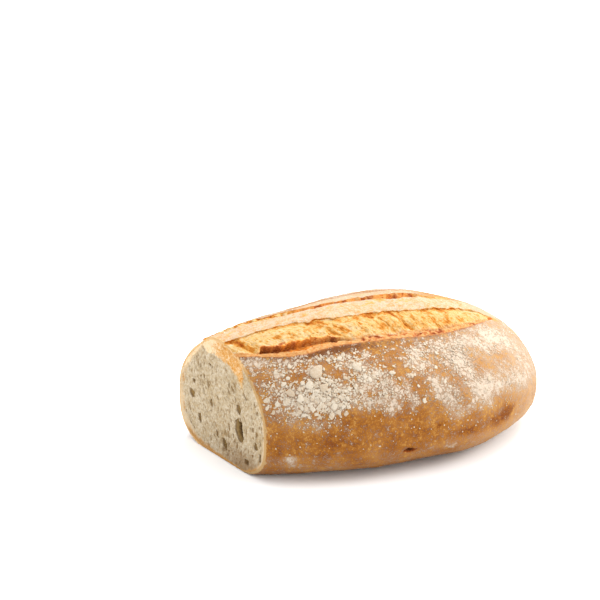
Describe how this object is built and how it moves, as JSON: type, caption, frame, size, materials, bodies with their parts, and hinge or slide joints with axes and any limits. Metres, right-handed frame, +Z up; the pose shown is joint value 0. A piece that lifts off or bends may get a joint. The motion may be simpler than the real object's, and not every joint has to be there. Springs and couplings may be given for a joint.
{
  "type": "country bread",
  "caption": "Cut country loaf: flour-dusted oval hearth bread with two long open slashes, flat base and a flat cut end showing its crumb",
  "frame": {"origin": "middle of the loaf's box at the level it rests on", "axes": "+X along the loaf from the cut end to the round end, +Z up, the better floured flank towards -Y"},
  "size_m": [0.2034, 0.1462, 0.0828],
  "materials": {
    "crust": "matte"
  },
  "bodies": {
    "root": {"loaf": "crust"}
  },
  "joints": []
}
